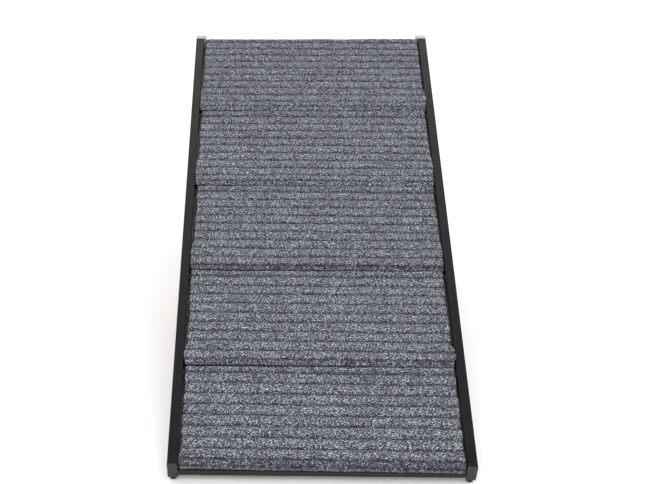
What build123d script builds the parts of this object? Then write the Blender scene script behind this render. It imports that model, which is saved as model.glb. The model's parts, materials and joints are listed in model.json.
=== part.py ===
"""Dog ramp with five carpeted treads that lift level into steps, on a folding rear leg frame.

Millimetres. +Z is up, the ramp climbs towards +Y and the origin is on the floor under the middle.
Most sizes are given on the deck: x across, y uphill from the low end, z off the rails' top face.
"""

import os
from math import cos, radians, sin

from build123d import *

# ---- overall ----
SLOPE = 24.0                # deck to floor, degrees
WIDTH = 450.0               # over the rails
LENGTH = 1000.0             # low cap to the rails' top end
SIDES = {"left": -1, "right": 1}

# ---- rails, caps and feet ----
RAIL_W = 15.0
RAIL_H = 30.0
RAIL_WALL = 1.5
RAIL_ROUND = 1.2
RAIL_X = (WIDTH - RAIL_W) / 2
RAIL_INSIDE = WIDTH / 2 - RAIL_W
LOW_CAP = 2.0               # length of the low cap outside the tube
SOLE_T = 3.0                # the low cap's sole, under the rail
SOLE_L = 14.0
TOP_CAP = 10.0
TOP_LUG = 4.2               # how far the top cap stands in from the rail
TOP_LUG_FROM_RAIL = 3.0
PLUG_GAP = 0.15             # plug to tube wall
PLUG_LENGTH = 15.0
CAP_ROUND = 3.0
SOLE_ROUND = 2.4
CAP_BEVEL = 1.0
CAP_BORE_R = 3.2            # clears the crossbar screw and the point of its head
FOOT_DROP = 6.0             # floor to the low corner of the cap
FOOT_R = 4.4
FOOT_Y = 5.4
FOOT_SEAT = 1.5             # depth of the foot's seat in the sole
FOOT_ROUND = 0.6

# ---- crossbars ----
BAR = 14.0
BAR_WALL = 1.2
PORT_R = 3.5                # screw port along the middle of a crossbar
PORT_BORE_R = 2.05
FRONT_BAR_Y = 8.5
FRONT_BAR_TOP = -18.0
FRONT_BAR_H = 12.0
RUNG_TOP = -14.0
RUNG_FROM_NOSE = 12.0
TOP_BAR_Y = 951.5
TOP_BAR_TOP = -16.0

# ---- treads ----
TREADS = 5
PITCH = 200.0
FIRST_PIVOT = 174.5
PIVOT_Z = -10.0
TILT = 1.9                  # a tread's nose stands this much proud of the rails, degrees
FIRST_TILT = 0.4            # the lowest tread's nose stays below the rails
NOSE = 188.0                # pivot to nose
FIRST_NOSE = 175.5
REAR = 10.0                 # pivot to rear edge
TOP_REAR = 27.5
BOARD_T = 8.0
BOARD_X = 203.0
CARPET_T = 5.0
CARPET_X = 205.5
CARPET_REAR_T = 4.0
CARPET_UNDER = 30.0
PILOT_SKIN = 1.4            # wood left over a screw's pilot hole
EAR_X = 206.5
EAR_T = 2.0
EAR_TOP_R = 6.5
EAR_LOW_R = 8.0
ARM = 32.0                  # tread pivot to link pivot
FLANGE_IN = 190.0
FLANGE_FROM_NOSE = 42.0
WALL_FROM_NOSE = 6.0
WALL_TOP = 3.5
ANGLE_FROM_REAR = 6.0
ANGLE_SCREW_X = 198.0
ANGLE_SCREW_V = (-11.0, -68.0, -125.0)
PIN_R = 3.0
PIN_HEAD_R = 3.8
PIN_HEAD = 1.5
PIN_END = 221.0
BUSH_R = 4.5
BUSH_FLANGE_R = 6.5
BUSH_FLANGE = 1.0
BUSH_END = 222.0
RUN_FIT = 0.05              # radial clearance of a turning fit

# ---- link bars and step lock ----
LINK_X = 203.5
LINK_T = 2.5
LINK_H = 18.0
LINK_END = 10.0
RIVET_R = 2.5
RIVET_HEAD_R = 4.5
RIVET_HEAD = 1.5
TIE_Y = 480.0
TIE_R = 4.0
KNOB_Y = 880.0
KNOB_R = 15.0
KNOB_T = 14.0
KNOB_LOBES = 5
KNOB_LOBE_R = 5.5
KNOB_GAP = 0.3
KNOB_ROUND = 1.5
KNOB_BRACKET_W = 24.0
KNOB_BRACKET_LOW = -54.0
KNOB_BRACKET_TOP = -14.5
KNOB_BRACKET_ROUND = 4.0
KNOB_SCREW_Z = -20.0
KNOB_SCREW_Y = 6.0
STUD_R = 3.0
STUD_HEAD_R = 5.4
STUD_END = 193.0
SLOT_TRAVEL = 13.0
SLOT_H = 8.0

# ---- rear leg frame ----
LEG_PIVOT_Y = 930.0
LEG_PIVOT_Z = -47.5
LEG_LEAN = 8.0              # leg to upright, degrees
LEG_W = 14.4
LEG_D = 25.0
LEG_WALL = 1.5
LEG_TUBE = 362.0            # pivot to the tube's low end
LEG_FOOT_ROUND = 1.0
LEG_NOTCH = 10.0
LEG_PIN_R = 3.0
BLOCK_T = 3.0
BLOCK_FRONT = 903.0
BLOCK_BACK = 965.0
BLOCK_SCREWS = (911.0, 959.0)
TONGUE_W = 11.0
TONGUE_R = 8.0
HEEL_GAP = 0.4
HEEL_T = 5.6
HEEL_LOW = -13.0
HEEL_TOP = 20.5
STRIP_AT = {"upper": -110.0, "lower": -310.0}
STRIP_H = 22.0
STRIP_T = 3.0
STRIP_ROUND = 1.2
PAD_Y = 600.0
PAD_L = 18.0
PAD_W = 10.0
PAD_T = 4.6
PAD_ROUND = 3.0

# ---- screws: shank radius, head radius, length ----
BAR_SCREW = (2.0, 4.4, 36.0)
SMALL_SCREW = (2.0, 3.6, 12.0)
BOARD_SCREW = (1.75, 3.5, 8.5)
STRIP_SCREW = (2.0, 4.0, 9.0)
SCREW_GAP = 0.1
PAN_HEAD = 2.0
SOCKET_R = 1.5
SOCKET_DEPTH = 1.2

# ---- worked out ----
RISE = sin(radians(SLOPE))
RUN = cos(radians(SLOPE))
DECK_Z = FOOT_DROP + (RAIL_H + SOLE_T) * RUN
DECK_Y = -((LENGTH + TOP_CAP) * RUN + (RAIL_H + CAP_BEVEL) * RISE) / 2
PIVOTS = [FIRST_PIVOT + PITCH * k for k in range(TREADS)]
NOSES = [FIRST_NOSE] + [NOSE] * (TREADS - 1)
REARS = [REAR] * (TREADS - 1) + [TOP_REAR]
TILTS = [FIRST_TILT] + [TILT] * (TREADS - 1)
LINK_Z = PIVOT_Z - ARM
RUNG_Z = RUNG_TOP - BAR / 2
BARS = {"front_crossbar": (FRONT_BAR_Y, FRONT_BAR_TOP - FRONT_BAR_H / 2, FRONT_BAR_H)}
BARS |= {f"rung_{k + 1}": (PIVOTS[k] - NOSE + RUNG_FROM_NOSE, RUNG_Z, BAR) for k in range(1, TREADS)}
BARS["top_crossbar"] = (TOP_BAR_Y, TOP_BAR_TOP - BAR / 2, BAR)
LIFT = SLOPE - TILT         # a tread's turn from ramp to step, degrees
KNOB_SCREWS = [(KNOB_Y - KNOB_SCREW_Y, KNOB_SCREW_Z), (KNOB_Y + KNOB_SCREW_Y, KNOB_SCREW_Z)]
LOW_IN = (Align.CENTER, Align.CENTER, Align.MAX)
LOW_OUT = (Align.CENTER, Align.CENTER, Align.MIN)


# ---- places on the deck ----
def deck_point(x, y, z):
    """The model's point for a place on the deck."""
    return (x, DECK_Y + y * RUN - z * RISE, DECK_Z + y * RISE + z * RUN)


def side_plane(x, y, z, turn=0.0):
    """A plane seen from the side: X uphill, Y off the deck, Z to the right."""
    angle = radians(SLOPE + turn)
    return Plane(origin=deck_point(x, y, z), x_dir=(0, cos(angle), sin(angle)), z_dir=(1, 0, 0))


def end_plane(y):
    """A plane square to the rails that faces the low end: X to the right, Y off the deck."""
    return Plane(origin=deck_point(0, y, 0), x_dir=(1, 0, 0), z_dir=(0, -RUN, -RISE))


def top_plane(z):
    """A plane level with the deck: X to the right, Y uphill."""
    return Plane(origin=deck_point(0, 0, z), x_dir=(1, 0, 0), z_dir=(0, -RISE, RUN))


def leg_plane(x):
    """A plane at the leg pivot, square to the leg: X to the rear, Y up along the leg."""
    return side_plane(x, LEG_PIVOT_Y, LEG_PIVOT_Z, LEG_LEAN - SLOPE)


def face_out(x, y, z, sign):
    """A plane at a deck point that faces out sideways."""
    return Plane(origin=deck_point(x, y, z), x_dir=(0, RUN, RISE), z_dir=(sign, 0, 0))


def face_down(x, y, z, turn=0.0):
    """A plane at a deck point that faces away from the deck's underside."""
    up = side_plane(x, y, z, turn).y_dir
    return Plane(origin=deck_point(x, y, z), x_dir=(1, 0, 0), z_dir=-up)


def tread_point(number, v, n):
    """Deck y and z of a place on a tread, v uphill from its pivot and n off its middle."""
    turn = radians(TILTS[number - 1])
    y = PIVOTS[number - 1] + v * cos(turn) + n * sin(turn)
    return y, PIVOT_Z - v * sin(turn) + n * cos(turn)


# ---- fasteners ----
def cut_socket(place):
    """A hexagon socket in a screw's head."""
    with BuildSketch(place) as socket:
        RegularPolygon(SOCKET_R, 6)
    extrude(socket.sketch, amount=-SOCKET_DEPTH, mode=Mode.SUBTRACT)


def flat_screw(place, size):
    """A countersunk screw whose head is flush with the place."""
    shank, head, length = size
    with Locations(place):
        Cone(shank, head, head - shank, align=LOW_IN)
        Cylinder(shank, length, align=LOW_IN)
    cut_socket(place)


def pan_screw(place, size):
    """A screw whose head stands on the place."""
    shank, head, length = size
    with Locations(place):
        Cylinder(head, PAN_HEAD, align=LOW_OUT)
        Cylinder(shank, length, align=LOW_IN)
    cut_socket(place.offset(PAN_HEAD))


def sink(place, size, depth):
    """A countersunk hole for a flat screw."""
    shank, head, _ = size
    with Locations(place):
        CounterSinkHole(shank + SCREW_GAP, head + SCREW_GAP, depth, 90)


def drill(place, radius, depth):
    """A plain round hole."""
    with Locations(place):
        Hole(radius, depth)


def save(part, name):
    """Name a finished piece and write it."""
    part.label = name
    export_step(part, f"parts/{name}.step")


# ---- the frame ----
def make_rail(side, sign):
    """A rail: rectangular tube with its pivot, crossbar, hinge and lock holes."""
    with BuildPart() as rail:
        with BuildSketch(end_plane(LOW_CAP)):
            with Locations((sign * RAIL_X, -RAIL_H / 2)):
                RectangleRounded(RAIL_W, RAIL_H, RAIL_ROUND)
                Rectangle(RAIL_W - 2 * RAIL_WALL, RAIL_H - 2 * RAIL_WALL, mode=Mode.SUBTRACT)
        extrude(amount=-(LENGTH - LOW_CAP))
        for y, z, _ in BARS.values():
            sink(face_out(sign * WIDTH / 2, y, z, sign), BAR_SCREW, RAIL_W)
        for y in PIVOTS:
            drill(face_out(sign * RAIL_INSIDE, y, PIVOT_Z, -sign), BUSH_R, RAIL_W / 2)
        for y in BLOCK_SCREWS:
            drill(face_down(sign * RAIL_X, y, -RAIL_H), SMALL_SCREW[0] + SCREW_GAP, RAIL_WALL * 2)
        if side == "right":
            for y, z in KNOB_SCREWS:
                place = face_out(RAIL_INSIDE, y, z, -1)
                drill(place, SMALL_SCREW[0] + SCREW_GAP, RAIL_W / 2)
    save(rail.part, f"rail_{side}")


def plug_sketch(sign):
    """The part of a cap that goes inside the rail."""
    inset = 2 * (RAIL_WALL + PLUG_GAP)
    with Locations((sign * RAIL_X, -RAIL_H / 2)):
        Rectangle(RAIL_W - inset, RAIL_H - inset)


def make_low_cap(side, sign):
    """The low cap: an end plate, a plug in the rail and a sole under it with a seat for the foot."""
    bar_y, bar_z, _ = BARS["front_crossbar"]
    height = RAIL_H + SOLE_T
    with BuildPart() as cap:
        with BuildSketch(end_plane(0)):
            with Locations((sign * RAIL_X, -height / 2)):
                Rectangle(RAIL_W, height)
        extrude(amount=-LOW_CAP)
        with BuildSketch(end_plane(0)):
            with Locations((sign * RAIL_X, -RAIL_H - SOLE_T / 2)):
                Rectangle(RAIL_W, SOLE_T)
        extrude(amount=-SOLE_L)
        along = Vector(0, RUN, RISE)
        edges = cap.edges().filter_by(lambda e: abs(abs(e.tangent_at(0.5).dot(along)) - 1) < 1e-6)
        fillet(edges.filter_by(lambda e: e.length > SOLE_L - 1e-6).sort_by(Axis.Z)[:2], SOLE_ROUND)
        fillet(cap.faces().sort_by(Axis.Y)[0].edges().sort_by(Axis.Z)[-1:], CAP_BEVEL)
        with BuildSketch(end_plane(LOW_CAP)):
            plug_sketch(sign)
        extrude(amount=-PLUG_LENGTH)
        drill(face_out(sign * WIDTH / 2, bar_y, bar_z, sign), CAP_BORE_R, RAIL_W)
        drill(face_down(sign * RAIL_X, FOOT_Y, -height), FOOT_R, FOOT_SEAT)
    save(cap.part, f"low_cap_{side}")


def make_low_foot(side, sign):
    """The rubber foot in the sole's seat, cut level with the floor."""
    seat = face_down(sign * RAIL_X, FOOT_Y, FOOT_SEAT - RAIL_H - SOLE_T)
    with BuildPart() as foot:
        with Locations(seat):
            Cylinder(FOOT_R, 2 * RAIL_H, align=LOW_OUT)
        split(bisect_by=Plane.XY, keep=Keep.TOP)
        fillet(foot.faces().sort_by(Axis.Z)[0].edges(), FOOT_ROUND)
    save(foot.part, f"low_foot_{side}")


def make_top_cap(side, sign):
    """The top cap: a bumper past the rail's end with a lug towards the deck."""
    inner = sign * (RAIL_INSIDE - TOP_LUG)
    outer = sign * WIDTH / 2
    with BuildPart() as cap:
        with BuildSketch(top_plane(-RAIL_H)):
            with BuildLine():
                Polyline(
                    (inner, LENGTH + TOP_LUG_FROM_RAIL),
                    (sign * RAIL_INSIDE, LENGTH + TOP_LUG_FROM_RAIL),
                    (sign * RAIL_INSIDE, LENGTH),
                    (outer, LENGTH),
                    (outer, LENGTH + TOP_CAP - CAP_ROUND),
                    (outer - sign * CAP_ROUND, LENGTH + TOP_CAP),
                    (inner, LENGTH + TOP_CAP),
                    close=True,
                )
            make_face()
        extrude(amount=RAIL_H)
        chamfer(cap.faces().sort_by(Axis.Z)[-1].edges(), CAP_BEVEL / 2)
        with BuildSketch(end_plane(LENGTH)):
            plug_sketch(sign)
        extrude(amount=PLUG_LENGTH)
    save(cap.part, f"top_cap_{side}")


def make_crossbar(name, y, z, height):
    """A crossbar: square extrusion with a screw port down its middle."""
    with BuildPart() as bar:
        with BuildSketch(side_plane(-RAIL_INSIDE, y, z)):
            RectangleRounded(BAR, height, BAR_WALL)
            Rectangle(BAR - 2 * BAR_WALL, height - 2 * BAR_WALL, mode=Mode.SUBTRACT)
            Rectangle(BAR - BAR_WALL, BAR_WALL)
            Rectangle(BAR_WALL, height - BAR_WALL)
            Circle(PORT_R)
            Circle(PORT_BORE_R, mode=Mode.SUBTRACT)
        extrude(amount=2 * RAIL_INSIDE)
    save(bar.part, name)


def make_crossbar_screws():
    """Countersunk screws through the rails into the crossbars' screw ports."""
    with BuildPart() as screws:
        for sign in SIDES.values():
            for y, z, _ in BARS.values():
                flat_screw(face_out(sign * WIDTH / 2, y, z, sign), BAR_SCREW)
    save(screws.part, "crossbar_screws")


def make_pivot_bushes():
    """Flanged nylon bushes in the rails that the tread pins turn in."""
    with BuildPart() as bushes:
        for sign in SIDES.values():
            for y in PIVOTS:
                place = face_out(sign * RAIL_INSIDE, y, PIVOT_Z, sign)
                with Locations(place):
                    Cylinder(BUSH_R, BUSH_END - RAIL_INSIDE, align=LOW_OUT)
                    Cylinder(BUSH_FLANGE_R, BUSH_FLANGE, align=LOW_IN)
                drill(place.offset(BUSH_END - RAIL_INSIDE), PIN_R + RUN_FIT, 2 * RAIL_W)
    save(bushes.part, "pivot_bushes")


# ---- the treads ----
def angle_screw_places(number, n):
    """The seats of the screws under a tread's two edge angles."""
    seats = [tread_point(number, v, n) for v in ANGLE_SCREW_V]
    turn = -TILTS[number - 1]
    return [face_down(sign * ANGLE_SCREW_X, y, z, turn) for sign in SIDES.values() for y, z in seats]


def make_board(number):
    """A plywood tread board with a rounded nose."""
    nose = NOSES[number - 1] - CARPET_T
    rear = REARS[number - 1] - CARPET_REAR_T
    with BuildPart() as board:
        with BuildSketch(side_plane(-BOARD_X, PIVOTS[number - 1], PIVOT_Z, -TILTS[number - 1])):
            with Locations(((rear - nose + BOARD_T / 2) / 2, 0)):
                Rectangle(rear + nose - BOARD_T / 2, BOARD_T)
            with Locations((BOARD_T / 2 - nose, 0)):
                Circle(BOARD_T / 2)
        extrude(amount=2 * BOARD_X)
        for place in angle_screw_places(number, -BOARD_T / 2):
            drill(place, BOARD_SCREW[0], BOARD_T - PILOT_SKIN)
    save(board.part, f"board_{number}")


def make_carpet(number):
    """The tread's carpet: over the top, down the rear edge and round under the nose."""
    nose = NOSES[number - 1]
    rear = REARS[number - 1]
    half = BOARD_T / 2
    out = half + CARPET_T
    with BuildPart() as carpet:
        with BuildSketch(side_plane(-CARPET_X, PIVOTS[number - 1], PIVOT_Z, -TILTS[number - 1])):
            with BuildLine():
                Line((out - nose, out), (rear - CARPET_REAR_T, out))
                RadiusArc((rear - CARPET_REAR_T, out), (rear, out - CARPET_REAR_T), CARPET_REAR_T)
                Polyline(
                    (rear, out - CARPET_REAR_T),
                    (rear, -half),
                    (rear - CARPET_REAR_T, -half),
                    (rear - CARPET_REAR_T, half),
                    (out - nose, half),
                )
                ThreePointArc((out - nose, half), (out - nose - half, 0), (out - nose, -half))
                Polyline(
                    (out - nose, -half),
                    (out - nose + CARPET_UNDER, -half),
                    (out - nose + CARPET_UNDER, -out),
                    (out - nose, -out),
                )
                ThreePointArc((out - nose, -out), (-nose, 0), (out - nose, out))
            make_face()
        extrude(amount=2 * CARPET_X)
    save(carpet.part, f"carpet_{number}")


def make_edge_angles(number):
    """The steel angles along a tread's two sides, each with an ear for the pivot and the link."""
    pivot = PIVOTS[number - 1]
    turn = -TILTS[number - 1]
    nose = NOSES[number - 1]
    back = REARS[number - 1] - ANGLE_FROM_REAR
    low = -BOARD_T / 2 - EAR_T
    outside = EAR_X + EAR_T
    # each leg of the angle: inner x, v at the front, n at the top
    legs = ((EAR_X, WALL_FROM_NOSE - nose, WALL_TOP), (FLANGE_IN, FLANGE_FROM_NOSE - nose, low + EAR_T))
    with BuildPart() as angles:
        for sign in SIDES.values():
            ear_x = min(sign * EAR_X, sign * outside)
            with BuildSketch(side_plane(ear_x, pivot, PIVOT_Z)):
                Circle(EAR_TOP_R)
                with Locations((0, -ARM)):
                    Circle(EAR_LOW_R)
                make_hull()
            extrude(amount=EAR_T)
            for inner, front, top in legs:
                left = min(sign * inner, sign * outside)
                with BuildSketch(side_plane(left, pivot, PIVOT_Z, turn)):
                    with Locations(((back + front) / 2, (top + low) / 2)):
                        Rectangle(back - front, top - low)
                extrude(amount=outside - inner)
            drill(face_out(sign * outside, pivot, PIVOT_Z, sign), PIN_R, 2 * EAR_T)
            drill(face_out(sign * outside, pivot, LINK_Z, sign), RIVET_R + RUN_FIT, 2 * EAR_T)
        for place in angle_screw_places(number, low):
            drill(place, BOARD_SCREW[0] + SCREW_GAP, 2 * EAR_T)
    save(angles.part, f"edge_angles_{number}")


def make_angle_screws(number):
    """The six screws that hold a tread's edge angles to its board."""
    with BuildPart() as screws:
        for place in angle_screw_places(number, -BOARD_T / 2 - EAR_T):
            pan_screw(place, BOARD_SCREW)
    save(screws.part, f"angle_screws_{number}")


def make_tread_pins(number):
    """The two steel pins, riveted in the ears, that a tread turns on."""
    with BuildPart() as pins:
        for sign in SIDES.values():
            place = face_out(sign * EAR_X, PIVOTS[number - 1], PIVOT_Z, sign)
            with Locations(place):
                Cylinder(PIN_R, PIN_END - EAR_X, align=LOW_OUT)
                Cylinder(PIN_HEAD_R, PIN_HEAD, align=LOW_IN)
    save(pins.part, f"tread_pins_{number}")


# ---- the link that lifts the treads together ----
def make_link(side, sign):
    """A flat link bar that joins the ears of all the treads on one side."""
    middle = (PIVOTS[0] + PIVOTS[-1]) / 2
    with BuildPart() as link:
        with BuildSketch(side_plane(min(sign * LINK_X, sign * (LINK_X + LINK_T)), middle, LINK_Z)):
            SlotOverall(PIVOTS[-1] - PIVOTS[0] + 2 * LINK_END, LINK_H)
            with Locations(*[(y - middle, 0) for y in PIVOTS]):
                Circle(RIVET_R, mode=Mode.SUBTRACT)
            if side == "right":
                drop = SLOT_TRAVEL * sin(radians(LIFT) / 2)
                with Locations(Location((KNOB_Y - middle + SLOT_TRAVEL / 2, -drop / 2), -LIFT / 2)):
                    SlotCenterToCenter(SLOT_TRAVEL, SLOT_H, mode=Mode.SUBTRACT)
        extrude(amount=LINK_T)
    save(link.part, f"link_{side}")


def make_link_rivets():
    """Shoulder rivets of the link bars, which turn in the ears."""
    with BuildPart() as rivets:
        for sign in SIDES.values():
            for y in PIVOTS:
                with Locations(face_out(sign * LINK_X, y, LINK_Z, sign)):
                    Cylinder(RIVET_R, EAR_X + EAR_T - LINK_X, align=LOW_OUT)
                    Cylinder(RIVET_HEAD_R, RIVET_HEAD, align=LOW_IN)
    save(rivets.part, "link_rivets")


def make_link_tie():
    """A round bar, welded between the link bars, that keeps them together."""
    with BuildPart() as tie:
        with BuildSketch(side_plane(-LINK_X, TIE_Y, LINK_Z)):
            Circle(TIE_R)
        extrude(amount=2 * LINK_X)
    save(tie.part, "link_tie")


def make_knob_bracket():
    """A steel tab under the right rail that the lock clamps the link against."""
    outer = RAIL_INSIDE
    inner = LINK_X + LINK_T + KNOB_GAP
    middle = (KNOB_BRACKET_LOW + KNOB_BRACKET_TOP) / 2
    with BuildPart() as bracket:
        with BuildSketch(side_plane(inner, KNOB_Y, middle)):
            RectangleRounded(KNOB_BRACKET_W, KNOB_BRACKET_TOP - KNOB_BRACKET_LOW, KNOB_BRACKET_ROUND)
        extrude(amount=outer - inner)
        for y, z in KNOB_SCREWS:
            sink(face_out(inner, y, z, -1), SMALL_SCREW, RAIL_W)
        sink(face_out(outer, KNOB_Y, LINK_Z, 1), (STUD_R, STUD_HEAD_R, 0), RAIL_W)
    save(bracket.part, "knob_bracket")


def make_lock_stud():
    """The countersunk stud that the lock knob turns on."""
    place = face_out(RAIL_INSIDE, KNOB_Y, LINK_Z, 1)
    with BuildPart() as stud:
        flat_screw(place, (STUD_R, STUD_HEAD_R, RAIL_INSIDE - STUD_END))
    save(stud.part, "lock_stud")


def make_lock_knob():
    """A lobed hand knob on the inside of the link."""
    start = LINK_X - KNOB_GAP
    with BuildPart() as knob:
        with BuildSketch(face_out(start, KNOB_Y, LINK_Z, -1)):
            Circle(KNOB_R - KNOB_LOBE_R / 2)
            with PolarLocations(KNOB_R - KNOB_LOBE_R, KNOB_LOBES):
                Circle(KNOB_LOBE_R)
        extrude(amount=KNOB_T)
        fillet(knob.faces().sort_by(Axis.X)[0].edges(), KNOB_ROUND)
        drill(face_out(start, KNOB_Y, LINK_Z, 1), STUD_R + RUN_FIT, start - STUD_END + KNOB_GAP)
    save(knob.part, "lock_knob")


# ---- the rear leg frame ----
def make_hinge_block(side, sign):
    """A nylon block under the rail: a tongue for the leg pin and a heel that stops the leg."""
    left = sign * RAIL_X - RAIL_W / 2
    leg_half = LEG_D / 2
    with BuildPart() as block:
        with BuildSketch(side_plane(left, 0, 0)):
            with Locations(((BLOCK_FRONT + BLOCK_BACK) / 2, -RAIL_H - BLOCK_T / 2)):
                Rectangle(BLOCK_BACK - BLOCK_FRONT, BLOCK_T)
        extrude(amount=RAIL_W)
        with BuildSketch(leg_plane(left)):
            with Locations((leg_half + HEEL_GAP + HEEL_T / 2, (HEEL_LOW + HEEL_TOP) / 2)):
                Rectangle(HEEL_T, HEEL_TOP - HEEL_LOW)
        extrude(amount=RAIL_W)
        with BuildSketch(side_plane(sign * RAIL_X - TONGUE_W / 2, LEG_PIVOT_Y, LEG_PIVOT_Z)):
            Circle(TONGUE_R)
            rise = -RAIL_H - BLOCK_T - LEG_PIVOT_Z
            with Locations((0, rise / 2)):
                Rectangle(2 * TONGUE_R, rise)
        extrude(amount=TONGUE_W)
        pin_at = face_out(sign * RAIL_X + TONGUE_W, LEG_PIVOT_Y, LEG_PIVOT_Z, 1)
        drill(pin_at, LEG_PIN_R + RUN_FIT, 2 * TONGUE_W)
        for y in BLOCK_SCREWS:
            sink(face_down(sign * RAIL_X, y, -RAIL_H - BLOCK_T), SMALL_SCREW, 2 * BLOCK_T)
    save(block.part, f"hinge_block_{side}")


def make_frame_screws():
    """Small countersunk screws of the hinge blocks and of the lock bracket."""
    bracket_face = LINK_X + LINK_T + KNOB_GAP
    with BuildPart() as screws:
        for sign in SIDES.values():
            for y in BLOCK_SCREWS:
                flat_screw(face_down(sign * RAIL_X, y, -RAIL_H - BLOCK_T), SMALL_SCREW)
        for y, z in KNOB_SCREWS:
            flat_screw(face_out(bracket_face, y, z, -1), SMALL_SCREW)
    save(screws.part, "frame_screws")


def make_leg_pads():
    """Rubber pads under the rails that the folded legs lie against."""
    with BuildPart() as pads:
        with BuildSketch(top_plane(-RAIL_H)):
            with Locations(*[(sign * RAIL_X, PAD_Y) for sign in SIDES.values()]):
                RectangleRounded(PAD_W, PAD_L, PAD_ROUND)
        extrude(amount=-PAD_T)
    save(pads.part, "leg_pads")


def make_leg(side, sign):
    """A leg: rectangular tube with a round, notched top that straddles the tongue."""
    half = LEG_D / 2
    left = sign * RAIL_X - LEG_W / 2
    inside = LEG_W - 2 * LEG_WALL
    with BuildPart() as leg:
        with BuildSketch(leg_plane(left)):
            Circle(half)
            with Locations((0, -LEG_TUBE / 2)):
                Rectangle(LEG_D, LEG_TUBE)
        extrude(amount=LEG_W)
        with BuildSketch(leg_plane(left + LEG_WALL)):
            with Locations((0, (half - LEG_TUBE) / 2)):
                Rectangle(LEG_D - 2 * LEG_WALL, LEG_TUBE + half)
            with Locations((-half, (half - LEG_NOTCH) / 2)):
                Rectangle(LEG_D / 2, half + LEG_NOTCH)
        extrude(amount=inside, mode=Mode.SUBTRACT)
        pin_at = face_out(sign * RAIL_X + LEG_W, LEG_PIVOT_Y, LEG_PIVOT_Z, 1)
        drill(pin_at, LEG_PIN_R, 2 * LEG_W)
        for w in STRIP_AT.values():
            with Locations(strip_screw_place(sign, w).offset(-STRIP_T)):
                Hole(STRIP_SCREW[0], 2 * LEG_WALL)
    save(leg.part, f"leg_{side}")


def strip_screw_place(sign, w):
    """The seat of a strip screw on the rear of the leg frame."""
    plane = leg_plane(sign * RAIL_X)
    origin = plane.from_local_coords(Vector(LEG_D / 2 + STRIP_T, w, 0))
    return Plane(origin=origin, x_dir=(1, 0, 0), z_dir=plane.x_dir)


def make_leg_pins():
    """Steel pins, held in the legs, that turn in the hinge blocks."""
    with BuildPart() as pins:
        for sign in SIDES.values():
            with Locations(face_out(sign * RAIL_X, LEG_PIVOT_Y, LEG_PIVOT_Z, 1)):
                Cylinder(LEG_PIN_R, LEG_W)
    save(pins.part, "leg_pins")


def make_leg_foot(side, sign):
    """A rubber foot in the end of the leg, cut level with the floor."""
    with BuildPart() as foot:
        with BuildSketch(leg_plane(sign * RAIL_X - LEG_W / 2)):
            with Locations((0, -LEG_TUBE - LEG_D / 2)):
                Rectangle(LEG_D, LEG_D)
        extrude(amount=LEG_W)
        split(bisect_by=Plane.XY, keep=Keep.TOP)
        inset = 2 * (LEG_WALL + PLUG_GAP)
        with BuildSketch(leg_plane(sign * RAIL_X - (LEG_W - inset) / 2)):
            with Locations((0, PLUG_LENGTH / 2 - LEG_TUBE)):
                Rectangle(LEG_D - inset, PLUG_LENGTH)
        extrude(amount=LEG_W - inset)
        fillet(foot.faces().sort_by(Axis.Z)[0].edges(), LEG_FOOT_ROUND)
    save(foot.part, f"leg_foot_{side}")


def make_leg_strip(name, w):
    """A flat steel strip across the rear of the legs."""
    length = WIDTH - RAIL_W + LEG_W
    with BuildPart() as strip:
        with BuildSketch(leg_plane(-length / 2)):
            with Locations((LEG_D / 2 + STRIP_T / 2, w)):
                Rectangle(STRIP_T, STRIP_H)
        extrude(amount=length)
        fillet(strip.edges().filter_by(GeomType.LINE).group_by(Edge.length.fget)[0], STRIP_ROUND)
        for sign in SIDES.values():
            drill(strip_screw_place(sign, w), STRIP_SCREW[0] + SCREW_GAP, 2 * STRIP_T)
    save(strip.part, f"leg_strip_{name}")


def make_strip_screws():
    """The screws that hold the strips to the legs."""
    with BuildPart() as screws:
        for sign in SIDES.values():
            for w in STRIP_AT.values():
                pan_screw(strip_screw_place(sign, w), STRIP_SCREW)
    save(screws.part, "leg_strip_screws")


os.makedirs("parts", exist_ok=True)
for side_name, side_sign in SIDES.items():
    make_rail(side_name, side_sign)
    make_low_cap(side_name, side_sign)
    make_low_foot(side_name, side_sign)
    make_top_cap(side_name, side_sign)
    make_link(side_name, side_sign)
    make_hinge_block(side_name, side_sign)
    make_leg(side_name, side_sign)
    make_leg_foot(side_name, side_sign)
for bar_name, bar_place in BARS.items():
    make_crossbar(bar_name, *bar_place)
for tread in range(1, TREADS + 1):
    make_board(tread)
    make_carpet(tread)
    make_edge_angles(tread)
    make_angle_screws(tread)
    make_tread_pins(tread)
for strip_name, strip_w in STRIP_AT.items():
    make_leg_strip(strip_name, strip_w)
make_crossbar_screws()
make_pivot_bushes()
make_link_rivets()
make_link_tie()
make_knob_bracket()
make_lock_stud()
make_lock_knob()
make_frame_screws()
make_leg_pads()
make_leg_pins()
make_strip_screws()
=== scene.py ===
import json
from math import cos, pi, radians, sin

import bpy
import numpy as np
from mathutils import Euler, Matrix, Vector


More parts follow.
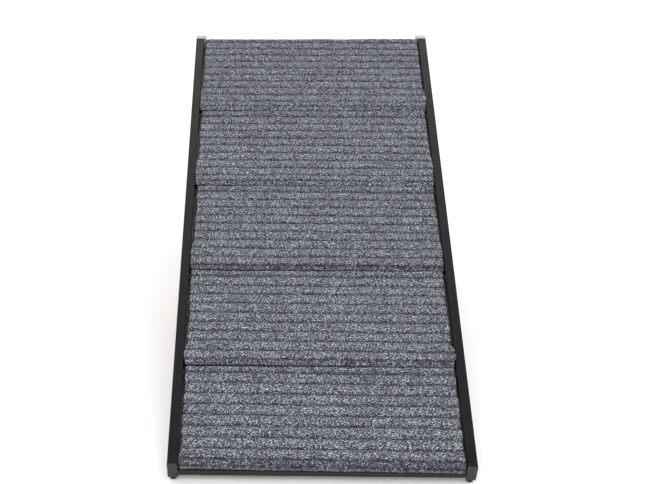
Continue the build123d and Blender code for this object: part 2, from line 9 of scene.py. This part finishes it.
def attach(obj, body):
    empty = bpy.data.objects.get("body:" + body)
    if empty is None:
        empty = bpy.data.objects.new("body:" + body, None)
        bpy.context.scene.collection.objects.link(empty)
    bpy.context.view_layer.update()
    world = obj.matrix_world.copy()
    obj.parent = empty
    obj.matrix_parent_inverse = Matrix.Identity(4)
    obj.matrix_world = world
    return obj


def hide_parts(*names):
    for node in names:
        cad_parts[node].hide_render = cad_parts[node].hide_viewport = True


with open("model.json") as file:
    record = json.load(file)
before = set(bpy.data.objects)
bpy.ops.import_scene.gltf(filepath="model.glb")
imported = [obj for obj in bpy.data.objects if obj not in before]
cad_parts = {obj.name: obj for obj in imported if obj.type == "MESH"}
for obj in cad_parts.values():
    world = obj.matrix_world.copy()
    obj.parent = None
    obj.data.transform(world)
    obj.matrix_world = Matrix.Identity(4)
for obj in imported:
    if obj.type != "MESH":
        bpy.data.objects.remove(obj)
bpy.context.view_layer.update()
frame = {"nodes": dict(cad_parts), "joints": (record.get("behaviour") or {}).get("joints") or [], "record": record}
nodes = frame["nodes"]
bpy.ops.object.select_all(action="DESELECT")

# ---- the ramp's driving sizes, metres; tables are by tread number, 1 the lowest ----
SLOPE = radians(24.0)
TILT = {1: radians(0.4), 2: radians(1.9), 3: radians(1.9), 4: radians(1.9), 5: radians(1.9)}
BOARD_HALF = 0.004
CARPET_T = 0.005
CARPET_HALF_WIDTH = 0.2055
CARPET_UNDER = 0.030
# how far each wrap reaches downhill and uphill of its tread's pivot
NOSE = {1: 0.1755, 2: 0.188, 3: 0.188, 4: 0.188, 5: 0.188}
REAR = {1: 0.0095, 2: 0.0095, 3: 0.0110, 4: 0.0110, 5: 0.0275}
REAR_BEND = 0.004
NOSE_R = BOARD_HALF + CARPET_T

# ---- the carpets' ribs: first groove uphill of the pivot, rib width, nose groove past the bend ----
FIRST_GROOVE = {1: -0.0043, 2: -0.0050, 3: -0.0059, 4: -0.0072, 5: 0.0148}
RIB = {1: 0.0201, 2: 0.0200, 3: 0.0199, 4: 0.02025, 5: 0.0205}
NOSE_GROOVE = {1: 0.0091, 2: 0.0035, 3: 0.0062, 4: 0.0039, 5: 0.0037}
UNDER_RIB = 0.015
LAST_RIB_CLEAR = 0.001
BEFORE_FIRST_RIB = -0.012
RIB_DEPTH = 0.0025
RIB_SKEW = 0.007
SKEW_RUN = 0.010
CROWN_POWER = 4.5
GROOVE_SPREAD = 0.45
# how far a groove strays, and over how many columns
GROOVE_WANDER = ((0.0008, 34), (0.0005, 8))
# the pile's slow waves, tufts and single loops: height, then the rows and columns that each takes
PILE_WAVES = ((0.0005, 9, 22), (0.0006, 2, 2), (0.0004, 1, 1))

# ---- the carpets' sides, left then right ----
HALF_WIDTH = {
    1: (0.2061, 0.2075),
    2: (0.2062, 0.2064),
    3: (0.2051, 0.2070),
    4: (0.2060, 0.2076),
    5: (0.2061, 0.2080),
}
RIB_END = (-0.0010, 0.0007)
FRAY = 0.0005
GROOVE_INSET = 0.0016
SHOULDER = 0.0026
# the wrap is cut wider over the nose, and narrower below it, where it passes between the edge angles
NOSE_HALF_WIDTH = 0.2080
UNDER_HALF_WIDTH = 0.2061
NOSE_WIDE_BEFORE = 0.014
NOSE_WIDE_RUN = 0.008
NOSE_WIDE_UNTIL = 0.018
# where the pile swells over the rails: middle, half length, then how far on the left and the right
SWELL = {
    1: (-0.150, 0.018, 0.0, 0.0),
    2: (-0.1725, 0.018, 0.0044, 0.0044),
    3: (-0.154, 0.020, 0.0039, 0.0010),
    4: (-0.147, 0.024, 0.0036, 0.0019),
    5: (-0.1545, 0.019, 0.0024, 0.0038),
}
SWELL_PAST_BEND = 0.004
SWELL_RUN = 0.006
SWELL_LIFT = 0.0016
LIFT_FROM = 0.200
LIFT_RUN = 0.010

# ---- painted shade: how dark the grooves are, and the noses; on the lowest carpet the painted shade starts above the bend ----
GROOVE_SHADE = 1.2
NOSE_SHADE = {1: 0.62, 2: 0.34, 3: 0.40, 4: 0.0, 5: 0.0}
# how far above the bend the nose's painted shade starts, and the run over which it grows
NOSE_SHADE_ABOVE_BEND = {1: 0.009, 2: 0.0, 3: 0.0, 4: 0.0, 5: 0.0}
NOSE_SHADE_RUN = 0.010

# ---- the sheets' grid ----
ROW_STEP = 0.00125
COLUMN_STEP = 0.00135
BACK_EVERY = 8
BACK_GAP = 0.0002
THINNEST = 0.0012


def srgb(red, green, blue):
    """A linear colour from a paint chart's 0 to 255 values."""
    out = []
    for value in (red, green, blue):
        part = value / 255
        out.append(part / 12.92 if part <= 0.04045 else ((part + 0.055) / 1.055) ** 2.4)
    return (*out, 1.0)


def pivot_of(joint):
    """The place of a joint, from the frame."""
    found = [j for j in frame["joints"] if j["name"] == joint]
    return Vector(found[0]["pos_m"])


# ---- materials ----
class Finish:
    """A material's node tree, with short calls for what the finishes share."""

    def __init__(self, name, colour, roughness, metallic=0.0, specular=0.5):
        self.material = bpy.data.materials.new(name)
        self.material.use_nodes = True
        self.tree = self.material.node_tree
        self.shader = self.tree.nodes["Principled BSDF"]
        self.shader.inputs["Base Color"].default_value = colour
        self.shader.inputs["Roughness"].default_value = roughness
        self.shader.inputs["Metallic"].default_value = metallic
        self.shader.inputs["Specular IOR Level"].default_value = specular
        self.place = self.node("ShaderNodeTexCoord").outputs["Object"]

    def node(self, kind, **settings):
        made = self.tree.nodes.new(kind)
        for key, value in settings.items():
            setattr(made, key, value)
        return made

    def join(self, output, target):
        self.tree.links.new(output, target)

    def mapped(self, scale=(1, 1, 1), turn=(0, 0, 0)):
        mapping = self.node("ShaderNodeMapping")
        mapping.inputs["Scale"].default_value = scale
        mapping.inputs["Rotation"].default_value = turn
        self.join(self.place, mapping.inputs["Vector"])
        return mapping.outputs["Vector"]

    def noise(self, scale, detail=2.0, rough=0.5, place=None):
        made = self.node("ShaderNodeTexNoise")
        made.inputs["Scale"].default_value = scale
        made.inputs["Detail"].default_value = detail
        made.inputs["Roughness"].default_value = rough
        self.join(place or self.place, made.inputs["Vector"])
        return made.outputs["Fac"]

    def ramp(self, value, *stops):
        made = self.node("ShaderNodeValToRGB")
        band = made.color_ramp
        while len(band.elements) < len(stops):
            band.elements.new(0.5)
        for element, (at, colour) in zip(band.elements, stops):
            element.position = at
            element.color = colour if hasattr(colour, "__len__") else (colour, colour, colour, 1)
        self.join(value, made.inputs["Fac"])
        return made.outputs["Color"]

    def mix(self, first, second, factor, kind="MIX"):
        made = self.node("ShaderNodeMix", data_type="RGBA", blend_type=kind)
        for value, target in ((factor, made.inputs[0]), (first, made.inputs[6]), (second, made.inputs[7])):
            if hasattr(value, "is_output"):
                self.join(value, target)
            else:
                target.default_value = value
        return made.outputs[2]

    def math(self, kind, first, second):
        made = self.node("ShaderNodeMath", operation=kind)
        for value, target in ((first, made.inputs[0]), (second, made.inputs[1])):
            if hasattr(value, "is_output"):
                self.join(value, target)
            else:
                target.default_value = value
        return made.outputs[0]

    def bump(self, height, distance, strength=1.0):
        made = self.node("ShaderNodeBump")
        made.inputs["Distance"].default_value = distance
        made.inputs["Strength"].default_value = strength
        self.join(height, made.inputs["Height"])
        self.join(made.outputs["Normal"], self.shader.inputs["Normal"])

    def paint(self, colour):
        self.join(colour, self.shader.inputs["Base Color"])

    def gloss(self, value):
        self.join(value, self.shader.inputs["Roughness"])


def powder_coat(name, colour, worn):
    """Matt black powder coat: a fine orange peel, faint blotches and dust, paler worn flecks."""
    coat = Finish(name, colour, 0.5, specular=0.13)
    blotch = coat.noise(22, 4, 0.6)
    fleck = coat.ramp(coat.noise(900, 3, 0.7), (0.66, 0.0), (0.74, 0.35))
    tone = coat.ramp(blotch, (0.35, colour), (0.7, worn))
    coat.paint(coat.mix(tone, worn, coat.math("MULTIPLY", fleck, 0.5)))
    coat.gloss(coat.ramp(blotch, (0.3, 0.36), (0.75, 0.50)))
    coat.bump(coat.noise(1700, 2, 0.5), 0.00006, 0.6)
    return coat.material


def moulded(name, colour, pale, roughness, grain):
    """Moulded plastic or rubber: a spark-eroded grain and slight flow marks."""
    plastic = Finish(name, colour, roughness, specular=0.3)
    flow = plastic.noise(45, 3, 0.55)
    plastic.paint(plastic.ramp(flow, (0.3, colour), (0.75, pale)))
    plastic.gloss(plastic.ramp(flow, (0.3, roughness - 0.06), (0.75, roughness + 0.07)))
    plastic.bump(plastic.noise(grain, 3, 0.6), 0.00007, 0.7)
    return plastic.material


def zinc(name):
    """Zinc plate: cloudy grey steel with fine turning marks."""
    plate = Finish(name, srgb(176, 178, 178), 0.34, metallic=1.0)
    cloud = plate.noise(160, 4, 0.65)
    plate.paint(plate.ramp(cloud, (0.3, srgb(150, 152, 150)), (0.72, srgb(196, 196, 192))))
    plate.gloss(plate.ramp(cloud, (0.3, 0.26), (0.75, 0.46)))
    plate.bump(plate.noise(1, 2, 0.5, plate.mapped((2600, 300, 300))), 0.00003, 0.5)
    return plate.material


def birch_ply(name):
    """Sanded birch plywood: long grain across the ramp, pores, and darker glue lines on the edges."""
    wood = Finish(name, srgb(196, 164, 122), 0.62, specular=0.35)
    grain = wood.noise(1, 5, 0.62, wood.mapped((9, 190, 190), (-SLOPE, 0, 0)))
    pore = wood.noise(1, 2, 0.5, wood.mapped((60, 1500, 1500), (-SLOPE, 0, 0)))
    tone = wood.ramp(
        grain,
        (0.28, srgb(172, 136, 94)),
        (0.5, srgb(200, 168, 124)),
        (0.75, srgb(218, 190, 148)),
    )
    tone = wood.mix(tone, srgb(128, 94, 60), wood.ramp(pore, (0.66, 0.0), (0.74, 0.55)))
    wood.paint(tone)
    wood.bump(grain, 0.0001, 0.5)
    return wood.material


def heather_carpet(name):
    """Ribbed carpet in mixed grey-blue yarn: tufts light and dark, with painted shade in the grooves."""
    pile = Finish(name, srgb(108, 112, 120), 0.95, specular=0.1)
    pile.shader.inputs["Sheen Weight"].default_value = 0.15
    pile.shader.inputs["Sheen Roughness"].default_value = 0.6
    strand = pile.mapped((0.88, 1.22, 1.22))
    yarn = pile.noise(460, 2.0, 0.62, strand)
    twist = pile.noise(1100, 1.0, 0.6, strand)
    speck = pile.ramp(pile.noise(380, 1.0, 0.5, strand), (0.34, 0.15), (0.43, 1.0))
    cloud = pile.noise(26, 3, 0.6)
    tone = pile.ramp(
        yarn,
        (0.36, srgb(20, 23, 30)),
        (0.445, srgb(70, 74, 84)),
        (0.525, srgb(124, 127, 136)),
        (0.615, srgb(208, 211, 218)),
    )
    fleck = pile.ramp(
        twist,
        (0.34, srgb(60, 64, 74)),
        (0.5, srgb(128, 128, 128)),
        (0.66, srgb(206, 208, 212)),
    )
    tone = pile.mix(tone, fleck, 0.75, "OVERLAY")
    tone = pile.mix(tone, pile.ramp(cloud, (0.3, 0.87), (0.7, 1.05)), 1.0, "MULTIPLY")
    tone = pile.mix(tone, speck, 1.0, "MULTIPLY")
    # painted shade: the grooves and the turned-down noses are darkened by the value each carpet carries
    painted_shade = pile.node("ShaderNodeAttribute", attribute_name="groove").outputs["Fac"]
    patchy = pile.ramp(pile.noise(150, 2, 0.6), (0.32, 0.25), (0.56, 0.95))
    # the painted shade darkens the yarn patchily towards a near-black grey
    pile.paint(pile.mix(tone, srgb(24, 26, 31), pile.math("MULTIPLY", painted_shade, patchy)))
    pile.bump(pile.mix(yarn, twist, 0.45), 0.0022, 1.0)
    return pile.material


FINISH = {
    "rail_black": powder_coat("rail_black_coat", srgb(13, 11, 15), srgb(20, 18, 22)),
    "link_steel": powder_coat("link_satin_coat", srgb(16, 16, 18), srgb(24, 24, 26)),
    "screw_black": powder_coat("black_oxide", srgb(26, 26, 28), srgb(44, 43, 42)),
    "cap_grey": moulded("cap_plastic", srgb(38, 35, 40), srgb(46, 43, 48), 0.55, 1500),
    "bumper_grey": moulded("bumper_rubber", srgb(176, 169, 164), srgb(192, 185, 180), 0.7, 1300),
    "rubber_black": moulded("black_rubber", srgb(26, 26, 27), srgb(38, 38, 39), 0.8, 1200),
    "nylon_black": moulded("black_nylon", srgb(33, 33, 35), srgb(44, 44, 46), 0.45, 1800),
    "knob_black": moulded("knob_plastic", srgb(30, 30, 32), srgb(40, 40, 42), 0.42, 1600),
    "screw_zinc": zinc("zinc_plate"),
    "plywood": birch_ply("birch_ply"),
    "carpet_grey": heather_carpet("heather_carpet"),
}
# painted light: the front crossbar, in shade under the lowest nose, gets a lighter copy of the rails' coat
CROSSBAR_PAINTED_LIGHT_COAT = powder_coat("crossbar_painted_light_coat", srgb(30, 28, 31), srgb(40, 38, 41))

for part in frame["record"]["subparts"]:
    data = nodes[part["node"]].data
    data.materials.clear()
    # the crossbar's lighter coat is painted light
    painted_light_bar = part["node"] == "front_crossbar"
    data.materials.append(CROSSBAR_PAINTED_LIGHT_COAT if painted_light_bar else FINISH[part["material_slot"]])


# ---- carpets ----
def fade_in(value, start, run):
    """0 up to start, then rising evenly to 1 over the run."""
    return np.clip((value - start) / run, 0, 1)


def fade_out(value, end, run):
    """1 until a run before the end, then falling evenly to 0."""
    return np.clip((end - value) / run, 0, 1)


def wrap_line(number):
    """The carpet's path in its tread's own frame: up the rear edge, over the top, round the nose, under.

    Each row is v, n, the outward direction and the length so far."""
    nose, rear = NOSE[number], REAR[number]
    runs = [
        ("line", (rear, -BOARD_HALF), (0, 1), NOSE_R - REAR_BEND + BOARD_HALF),
        ("arc", (rear - REAR_BEND, NOSE_R - REAR_BEND), REAR_BEND, 0.0, pi / 2),
        ("line", (rear - REAR_BEND, NOSE_R), (-1, 0), rear - REAR_BEND + nose - NOSE_R),
        ("arc", (NOSE_R - nose, 0.0), NOSE_R, pi / 2, 3 * pi / 2),
        ("line", (NOSE_R - nose, -NOSE_R), (1, 0), CARPET_UNDER),
    ]
    rows, so_far = [], 0.0
    for run in runs:
        long = run[3] if run[0] == "line" else run[2] * (run[4] - run[3])
        count = max(2, round(long / ROW_STEP))
        for i in range(count):
            share = i / count
            if run[0] == "line":
                (v, n), (dv, dn) = run[1], run[2]
                at = (v + dv * long * share, n + dn * long * share, dn, -dv)
            else:
                (v, n), radius = run[1], run[2]
                angle = run[3] + (run[4] - run[3]) * share
                at = (v + radius * cos(angle), n + radius * sin(angle), cos(angle), sin(angle))
            rows.append((*at, so_far + long * share))
        so_far += long
    return np.array(rows), so_far


def groove_places(number, top_start, bend_start, total):
    """Lengths along the wrap where the ribs meet."""
    top_v = REAR[number] - REAR_BEND
    places = [top_start + top_v - FIRST_GROOVE[number]]
    while places[-1] + RIB[number] < bend_start - LAST_RIB_CLEAR:
        places.append(places[-1] + RIB[number])
    places.append(bend_start + NOSE_GROOVE[number])
    while places[-1] < total:
        places.append(places[-1] + UNDER_RIB)
    return np.array(places)


def smooth_noise(rng, rows, columns, every_row, every_column):
    """Random waves over a grid, one control value per so many rows and columns."""
    coarse = rng.uniform(-1, 1, (rows // every_row + 3, columns // every_column + 3))
    r = np.arange(rows) / every_row
    c = np.arange(columns) / every_column
    ri, ci = r.astype(int), c.astype(int)
    rf, cf = r - ri, c - ci
    rf, cf = rf * rf * (3 - 2 * rf), cf * cf * (3 - 2 * cf)
    top = coarse[ri][:, ci] * (1 - cf) + coarse[ri][:, ci + 1] * cf
    low = coarse[ri + 1][:, ci] * (1 - cf) + coarse[ri + 1][:, ci + 1] * cf
    return top * (1 - rf)[:, None] + low * rf[:, None]


def rib_crowns(rng, grooves, length, across):
    """The rib that each point lies on, and its crown: 1 on the rib's top, 0 in the groove.

    Each groove wanders a little and runs slightly off square, so the ribs are not ruled lines."""
    rows, columns = len(length), len(across)
    wander = np.zeros((len(grooves), columns))
    for size, every_column in GROOVE_WANDER:
        wander += smooth_noise(rng, len(grooves), columns, 1, every_column) * size
    wander += RIB_SKEW * CARPET_HALF_WIDTH * across[None, :]
    edges = np.concatenate([[BEFORE_FIRST_RIB], grooves])[:, None] + np.vstack([np.zeros(columns), wander])
    rib = np.clip((length[:, None, None] >= edges[None, :, :]).sum(1) - 1, 0, len(grooves) - 1)
    column_of = np.arange(columns)[None, :].repeat(rows, 0)
    low, high = edges[rib, column_of], edges[np.minimum(rib + 1, len(grooves)), column_of]
    share = np.clip((length[:, None] - low) / np.maximum(high - low, 1e-6), 0, 1)
    return rib, 1 - np.abs(2 * share - 1) ** CROWN_POWER


def pile_height(rng, crown):
    """The outer face's height off the wrap line: grooves of uneven depth, waves, tufts and loops."""
    rows, columns = crown.shape
    height = -RIB_DEPTH * (1 - crown) * (1 + GROOVE_SPREAD * smooth_noise(rng, rows, columns, 6, 12))
    for size, every_row, every_column in PILE_WAVES:
        height += size * smooth_noise(rng, rows, columns, every_row, every_column)
    return height


def side_edges(rng, number, length, bend_start, rib_ends, rib, crown, swell_at):
    """How far the carpet reaches on the left and the right in each row; each rib ends at its own length."""
    half = np.zeros((len(length), 2))
    for side in (0, 1):
        half[:, side] = HALF_WIDTH[number][side] + rib_ends[rib[:, -side], side]
        half[:, side] += SWELL[number][2 + side] * swell_at
        half[:, side] += rng.uniform(-FRAY, FRAY, len(length))
        half[:, side] -= GROOVE_INSET * (1 - crown[:, -side])
    narrow = length > bend_start + NOSE_WIDE_UNTIL
    over_nose = fade_in(length, bend_start - NOSE_WIDE_BEFORE, NOSE_WIDE_RUN) * ~narrow
    half = np.maximum(half, half + (NOSE_HALF_WIDTH - half) * over_nose[:, None])
    return np.where(narrow[:, None], np.minimum(half, UNDER_HALF_WIDTH), half)


def tread_to_ramp(number, points):
    """Points x, v, n in a tread's own frame, placed on the ramp."""
    angle = SLOPE - TILT[number]
    pivot = np.array(pivot_of(f"tread_{number}_tilt")) * np.array([0, 1, 1])
    sideways = np.array([1.0, 0, 0])
    uphill = np.array([0, cos(angle), sin(angle)])
    normal = np.array([0, -sin(angle), cos(angle)])
    return pivot + points[:, :1] * sideways + points[:, 1:2] * uphill + points[:, 2:] * normal


def make_carpet(number):
    """A tread's ribbed carpet as a closed sheet: tufted outer face, plain back, ragged side edges."""
    rng = np.random.default_rng(100 + number)
    line, total = wrap_line(number)
    length = line[:, 4]
    rows = len(line)
    columns = 2 * round(CARPET_HALF_WIDTH / COLUMN_STEP) + 1
    across = np.linspace(-1, 1, columns)
    top_start = NOSE_R + BOARD_HALF - REAR_BEND + REAR_BEND * pi / 2
    bend_start = total - CARPET_UNDER - pi * NOSE_R

    grooves = groove_places(number, top_start, bend_start, total)
    rib, crown = rib_crowns(rng, grooves, length, across)
    height = pile_height(rng, crown)

    # the pile swells over the rails near the nose, and stops at the bend
    middle, reach = SWELL[number][:2]
    swell_at = np.exp(-(((REAR[number] - REAR_BEND - middle - (length - top_start)) / reach) ** 4))
    swell_at *= fade_out(length, bend_start + SWELL_PAST_BEND, SWELL_RUN)
    rib_ends = rng.uniform(*RIB_END, (len(grooves) + 1, 2))
    half = side_edges(rng, number, length, bend_start, rib_ends, rib, crown, swell_at)
    x = np.where(across[None, :] < 0, across[None, :] * half[:, :1], across[None, :] * half[:, 1:])

    # the side edges are rounded over, less where the pile swells
    from_edge = np.minimum(x + half[:, :1], half[:, 1:] - x)
    drop = SHOULDER * (1 - np.sqrt(np.clip(1 - (1 - np.clip(from_edge / SHOULDER, 0, 1)) ** 2, 0, 1)))
    height -= drop * (1 - 0.5 * swell_at[:, None])
    nose_skew = fade_in(length, bend_start, SKEW_RUN) * fade_out(length, total - CARPET_UNDER, SKEW_RUN)
    height += RIB_SKEW * x * nose_skew[:, None]

    back = -CARPET_T + BACK_GAP
    height = np.maximum(height, back + THINNEST)
    lift = SWELL_LIFT * swell_at[:, None] * fade_in(np.abs(x), LIFT_FROM, LIFT_RUN)
    v = line[:, 0:1] + line[:, 2:3] * (height + lift)
    n = line[:, 1:2] + line[:, 3:4] * (height + lift)
    back_v = line[:, 0:1] + line[:, 2:3] * (back + lift)
    back_n = line[:, 1:2] + line[:, 3:4] * (back + lift)

    # the plain back needs fewer columns
    keep = list(range(0, columns, BACK_EVERY))
    if keep[-1] != columns - 1:
        keep.append(columns - 1)
    outer = np.stack([x, v, n], -1).reshape(-1, 3)
    inner = np.stack([x, back_v, back_n], -1)[:, keep].reshape(-1, 3)
    world = tread_to_ramp(number, np.vstack([outer, inner]))
    mesh = bpy.data.meshes.new(f"carpet_pile_{number}")
    mesh.from_pydata(world.tolist(), [], closed_sheet_faces(rows, columns, keep))

    # painted shade: the grooves are darkened, and so is the pile that turns down round the nose
    turned = fade_in(length, bend_start - NOSE_SHADE_ABOVE_BEND[number], NOSE_SHADE_RUN)[:, None]
    shade = (1 - crown) * (GROOVE_SHADE + NOSE_SHADE[number] * turned) + NOSE_SHADE[number] * turned
    # the painted shade goes on the outer face only
    painted_shade = np.concatenate([np.clip(shade, 0, 1).ravel(), np.zeros(len(inner))])
    mesh.attributes.new("groove", "FLOAT", "POINT").data.foreach_set("value", painted_shade.astype(np.float32))
    carpet = bpy.data.objects.new(f"carpet_pile_{number}", mesh)
    bpy.context.scene.collection.objects.link(carpet)
    mesh.materials.append(FINISH["carpet_grey"])
    mesh.shade_smooth()
    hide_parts(f"carpet_{number}")
    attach(carpet, f"tread_{number}")


def closed_sheet_faces(rows, columns, keep):
    """Faces of a closed sheet: a fine outer grid, a coarse back, and the four edges between them."""
    faces = []
    for i in range(rows - 1):
        for j in range(columns - 1):
            a = i * columns + j
            faces.append((a, a + 1, a + columns + 1, a + columns))
    base = rows * columns
    wide = len(keep)
    for i in range(rows - 1):
        for j in range(wide - 1):
            a = base + i * wide + j
            faces.append((a + wide, a + wide + 1, a + 1, a))
        left, right = i * columns, i * columns + columns - 1
        back_left, back_right = base + i * wide, base + i * wide + wide - 1
        faces.append((left, left + columns, back_left + wide, back_left))
        faces.append((right + columns, right, back_right, back_right + wide))
    for i, turned in ((0, False), (rows - 1, True)):
        for j in range(wide - 1):
            front = [i * columns + c for c in range(keep[j], keep[j + 1] + 1)]
            back = [base + i * wide + j + 1, base + i * wide + j]
            faces.append(tuple(front + back) if turned else tuple(front[::-1] + back[::-1]))
    return faces


for tread in range(1, 6):
    make_carpet(tread)


# ---- floor, light and camera ----
def lay_floor():
    """A plain pale floor."""
    bpy.ops.mesh.primitive_plane_add(size=60, location=(0, 8, -0.0005))
    floor = bpy.context.object
    floor.name = "studio_floor"
    paint = Finish("studio_floor_paint", (0.96, 0.96, 0.96, 1), 0.9, specular=0.1)
    floor.data.materials.append(paint.material)


def add_softbox(name, place, target, size, power):
    """A large soft light that faces a point."""
    light = bpy.data.lights.new(name, "AREA")
    light.shape = "RECTANGLE"
    light.size, light.size_y = size
    light.energy = power
    lamp = bpy.data.objects.new(name, light)
    lamp.location = place
    lamp.rotation_euler = (Vector(target) - Vector(place)).to_track_quat("-Z", "Y").to_euler()
    bpy.context.scene.collection.objects.link(lamp)


def light_studio():
    """Even white surroundings, one broad light overhead and a weak fill from the front."""
    world = bpy.data.worlds.new("studio")
    bpy.context.scene.world = world
    world.use_nodes = True
    world.node_tree.nodes["Background"].inputs["Color"].default_value = (1, 1, 1, 1)
    world.node_tree.nodes["Background"].inputs["Strength"].default_value = 0.91
    add_softbox("overhead", (0.3, -2.0, 1.95), (0, -0.1, 0.2), (2.4, 1.8), 33)
    add_softbox("back_light", (0.0, 3.6, 5.2), (0, 0.3, 0.4), (3.2, 2.0), 92)
    add_softbox("front_fill", (-0.8, -2.6, 0.55), (0, -0.3, 0.1), (2.0, 0.9), 16)


def set_camera():
    """The view from the low end, looking down the deck."""
    camera = bpy.data.cameras.new("camera")
    camera.sensor_width = 36.0
    camera.lens = 73.9
    camera.shift_x = 0.1439
    seat = bpy.data.objects.new("camera", camera)
    seat.location = (-0.0719, -2.1175, 1.0652)
    look = Euler((radians(90 - 22.377), 0, radians(2.035))).to_matrix()
    seat.rotation_euler = (look @ Matrix.Rotation(radians(-0.509), 3, "Z")).to_euler()
    bpy.context.scene.collection.objects.link(seat)
    bpy.context.scene.camera = seat
    bpy.context.scene.view_settings.view_transform = "Standard"


lay_floor()
light_studio()
set_camera()
